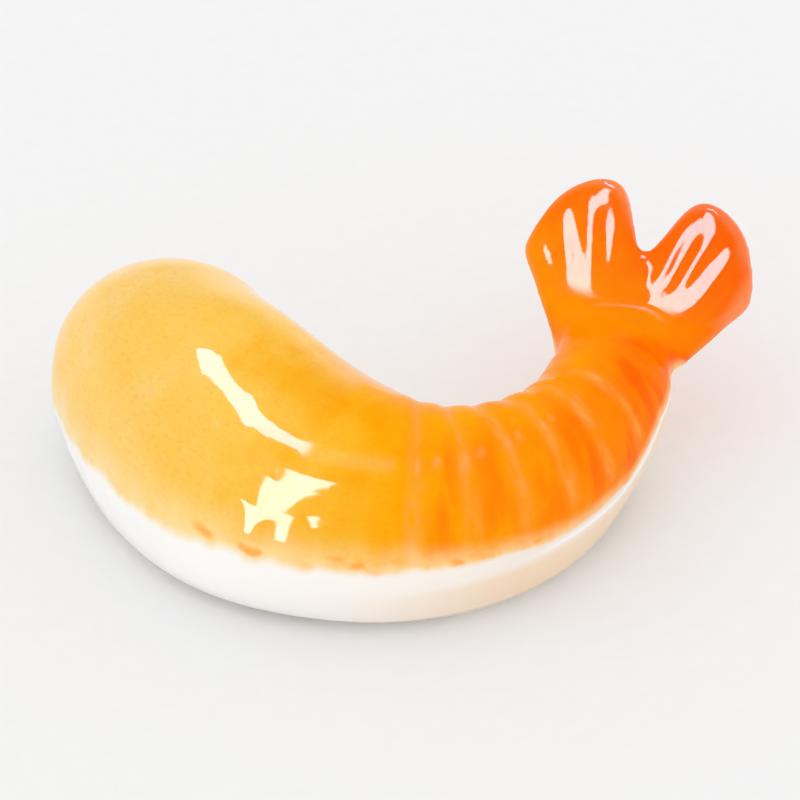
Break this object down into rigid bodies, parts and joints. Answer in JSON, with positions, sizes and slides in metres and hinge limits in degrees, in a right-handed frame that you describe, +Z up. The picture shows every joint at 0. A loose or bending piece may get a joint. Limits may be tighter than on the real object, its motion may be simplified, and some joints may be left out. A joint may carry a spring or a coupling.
{
  "type": "chopstick rest",
  "caption": "Glazed porcelain chopstick rest shaped as a curled prawn, with a saddle in its back, a raised tail fan and a flat bare foot.",
  "frame": {"origin": "on the table, under the middle of the rest's overall box", "axes": "+Z up from the flat foot, +X along the length from the head to the tail, -Y towards the outside of the curl"},
  "size_m": [0.0624, 0.0396, 0.021],
  "materials": {
    "porcelain": "bare fired porcelain, matt",
    "amber_glaze": "glossy amber glaze, yellow at the head and deeper towards the tail",
    "white_glaze": "glossy clear glaze over white porcelain",
    "orange_glaze": "glossy deep orange glaze"
  },
  "bodies": {
    "root": {"porcelain_body": "porcelain", "amber_glaze": "amber_glaze", "white_glaze": "white_glaze", "outer_tail_lobe": "orange_glaze", "inner_tail_lobe": "orange_glaze"}
  },
  "joints": []
}
